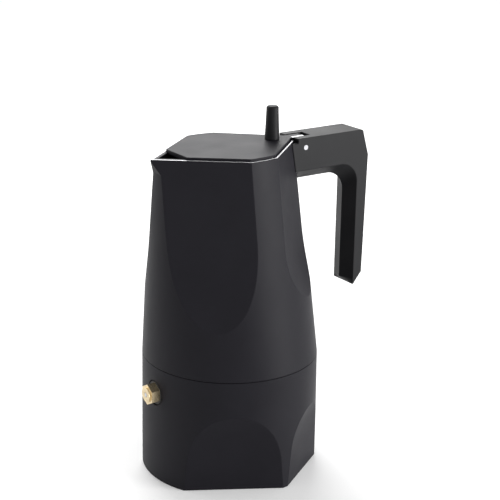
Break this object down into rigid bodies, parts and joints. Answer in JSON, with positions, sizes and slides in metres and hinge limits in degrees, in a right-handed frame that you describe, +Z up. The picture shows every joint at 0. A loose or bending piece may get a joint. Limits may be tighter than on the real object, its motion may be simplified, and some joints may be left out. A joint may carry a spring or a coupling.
{
  "type": "moka pot",
  "caption": "Faceted stove-top coffee pot in matt black cast aluminium: screw-on boiler with brass safety valve, funnel, spouted collector, hinged lid and angular side handle.",
  "frame": {"origin": "centre of the boiler's flat underside", "axes": "+Z up; +X towards the handle, so the spout and the safety valve face -X; the XZ plane is the plane of symmetry"},
  "size_m": [0.1232, 0.0858, 0.1752],
  "materials": {
    "coated_casting": "matt black coating on cast aluminium",
    "black_plastic": "fine matt moulded surface",
    "valve_brass": "turned, lightly polished",
    "bright_steel": "bright drawn steel",
    "bare_aluminium": "bare pressed and turned aluminium",
    "pale_rubber": "off-white silicone",
    "dark_rubber": "black sealing washer"
  },
  "bodies": {
    "base": {"boiler": "coated_casting", "valve_body": "valve_brass", "valve_washer": "dark_rubber", "valve_retainer": "valve_brass", "valve_spring": "bright_steel"},
    "plunger": {"valve_plunger": "bright_steel"},
    "basket": {"funnel": "bare_aluminium", "funnel_sieve": "bare_aluminium"},
    "seal": {"gasket": "pale_rubber"},
    "filter": {"filter_plate": "bare_aluminium"},
    "upper_pot": {"collector": "coated_casting", "riser_column": "bare_aluminium", "handle": "black_plastic", "handle_screw": "bright_steel", "hinge_pin": "bright_steel"},
    "cover": {"lid": "coated_casting", "knob": "black_plastic", "knob_screw": "bright_steel", "knob_washer": "bright_steel"}
  },
  "joints": [
    {"name": "valve_slide", "type": "slide", "parent": "base", "child": "plunger", "axis": [-1, 0, 0], "range_m": [0, 0.001], "stiffness_N_per_m": 400, "springref_m": -0.001, "deforming": ["valve_spring"]},
    {"name": "funnel_lift", "type": "slide", "parent": "base", "child": "basket", "axis": [0, 0, 1], "range_m": [0, 0.066]},
    {"name": "thread_rise", "type": "slide", "parent": "basket", "child": "seal", "axis": [0, 0, 1], "range_m": [0, 0.0045]},
    {"name": "collector_lift", "type": "slide", "parent": "seal", "child": "filter", "axis": [0, 0, 1], "range_m": [0, 0.11]},
    {"name": "collector_turn", "type": "hinge", "parent": "filter", "child": "upper_pot", "pos_m": [0, 0, 0.06], "axis": [0, 0, 1], "range_deg": [0, 540]},
    {"name": "lid_hinge", "type": "hinge", "parent": "upper_pot", "child": "cover", "pos_m": [0.0374, 0, 0.1548], "axis": [0, 1, 0], "range_deg": [0, 100]}
  ],
  "couplings": [
    {"joint": "thread_rise", "follows": "collector_turn", "m_per_rad": 0.00047746}
  ]
}
